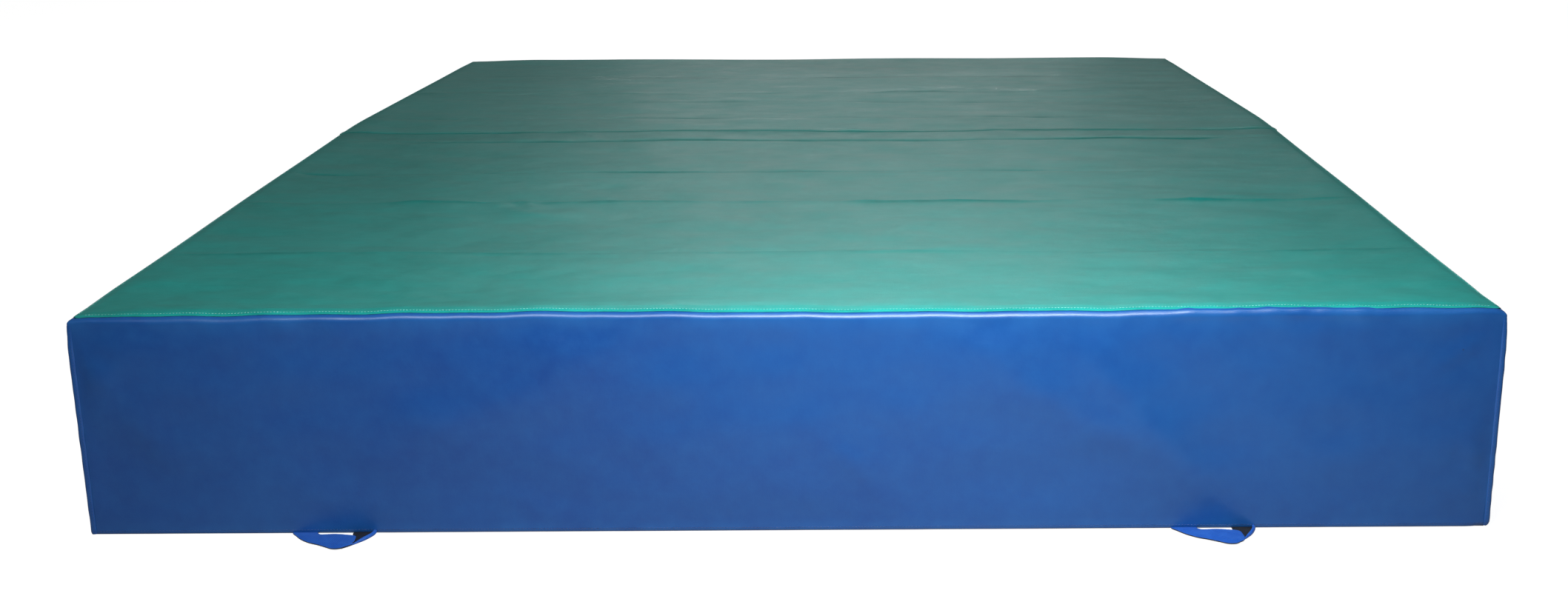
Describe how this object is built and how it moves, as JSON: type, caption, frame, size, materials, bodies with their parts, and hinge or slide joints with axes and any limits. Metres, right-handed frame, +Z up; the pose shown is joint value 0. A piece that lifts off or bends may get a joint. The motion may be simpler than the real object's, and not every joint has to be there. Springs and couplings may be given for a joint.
{
  "type": "crash landing mat",
  "caption": "Thick foam landing mat in a sewn two-colour vinyl cover, with webbing carry handles at floor level, side air vents and a zipped back.",
  "frame": {"origin": "on the floor, under the middle of the mat", "axes": "+Z up, +Y along the mat's length towards the zipped back, +X to the right seen from the front"},
  "size_m": [2.13, 3.13, 0.3205],
  "materials": {
    "green_vinyl": "satin",
    "blue_vinyl": "satin",
    "base_vinyl": "matte",
    "soft_foam": "matte",
    "landing_foam": "matte",
    "webbing": "satin",
    "green_thread": "satin",
    "blue_thread": "satin",
    "zip_tape": "matte",
    "zip_teeth": "satin",
    "zip_metal": "satin",
    "eyelet_metal": "satin"
  },
  "bodies": {
    "cover": {"core_foam_front": "soft_foam", "core_foam_back": "soft_foam", "landing_foam_front": "landing_foam", "landing_foam_back": "landing_foam", "top_panel_front": "green_vinyl", "top_panel_back": "green_vinyl", "front_side_panel": "blue_vinyl", "left_side_panel": "blue_vinyl", "right_side_panel": "blue_vinyl", "back_panel_upper": "blue_vinyl", "back_panel_lower": "blue_vinyl", "corner_binding_front_left": "blue_vinyl", "corner_binding_front_right": "blue_vinyl", "corner_binding_back_left": "blue_vinyl", "corner_binding_back_right": "blue_vinyl", "base_panel_front": "base_vinyl", "base_panel_back": "base_vinyl", "base_seam_tape": "base_vinyl", "top_edge_stitching": "green_thread", "centre_seam_stitching": "green_thread", "corner_stitching": "blue_thread", "base_edge_stitching": "blue_thread", "zip_stitching": "blue_thread", "zip_tape_upper": "zip_tape", "zip_tape_lower": "zip_tape", "zip_teeth_upper": "zip_teeth", "zip_teeth_lower": "zip_teeth", "zip_top_stops": "zip_metal", "zip_bottom_stop": "zip_metal", "left_vent_eyelets": "eyelet_metal", "right_vent_eyelets": "eyelet_metal", "left_vent_washers": "eyelet_metal", "right_vent_washers": "eyelet_metal", "front_handle_anchors": "webbing", "front_handle_patches": "base_vinyl", "back_handle_anchors": "webbing", "back_handle_patches": "base_vinyl", "left_handle_anchors": "webbing", "left_handle_patches": "base_vinyl", "right_handle_anchors": "webbing", "right_handle_patches": "base_vinyl"},
    "front_handle_left": {"front_handle_left": "webbing"},
    "front_handle_right": {"front_handle_right": "webbing"},
    "back_handle_right": {"back_handle_right": "webbing"},
    "back_handle_left": {"back_handle_left": "webbing"},
    "left_handle_back": {"left_handle_back": "webbing"},
    "left_handle_front": {"left_handle_front": "webbing"},
    "right_handle_front": {"right_handle_front": "webbing"},
    "right_handle_back": {"right_handle_back": "webbing"},
    "zip_slider": {"zip_slider": "zip_metal"},
    "zip_pull": {"zip_pull": "zip_metal"}
  },
  "joints": [
    {"name": "front_handle_left_lift", "type": "hinge", "parent": "cover", "child": "front_handle_left", "pos_m": [-0.655, -1.5015, 0.0016], "axis": [-1, 0, 0], "range_deg": [0, 88]},
    {"name": "front_handle_right_lift", "type": "hinge", "parent": "cover", "child": "front_handle_right", "pos_m": [0.603, -1.5015, 0.0016], "axis": [-1, 0, 0], "range_deg": [0, 88]},
    {"name": "back_handle_right_lift", "type": "hinge", "parent": "cover", "child": "back_handle_right", "pos_m": [0.655, 1.5015, 0.0016], "axis": [1, 0, 0], "range_deg": [0, 88]},
    {"name": "back_handle_left_lift", "type": "hinge", "parent": "cover", "child": "back_handle_left", "pos_m": [-0.603, 1.5015, 0.0016], "axis": [1, 0, 0], "range_deg": [0, 88]},
    {"name": "left_handle_back_lift", "type": "hinge", "parent": "cover", "child": "left_handle_back", "pos_m": [-1.0015, 0.75, 0.0016], "axis": [0, 1, 0], "range_deg": [0, 88]},
    {"name": "left_handle_front_lift", "type": "hinge", "parent": "cover", "child": "left_handle_front", "pos_m": [-1.0015, -0.75, 0.0016], "axis": [0, 1, 0], "range_deg": [0, 88]},
    {"name": "right_handle_front_lift", "type": "hinge", "parent": "cover", "child": "right_handle_front", "pos_m": [1.0015, -0.75, 0.0016], "axis": [0, -1, 0], "range_deg": [0, 88]},
    {"name": "right_handle_back_lift", "type": "hinge", "parent": "cover", "child": "right_handle_back", "pos_m": [1.0015, 0.75, 0.0016], "axis": [0, -1, 0], "range_deg": [0, 88]},
    {"name": "zip_slide", "type": "slide", "parent": "cover", "child": "zip_slider", "axis": [-1, 0, 0], "range_m": [0, 1.85]},
    {"name": "zip_pull_swing", "type": "hinge", "parent": "zip_slider", "child": "zip_pull", "pos_m": [0.925, 1.5063, 0.15], "axis": [1, 0, 0], "range_deg": [-6, 165]}
  ]
}
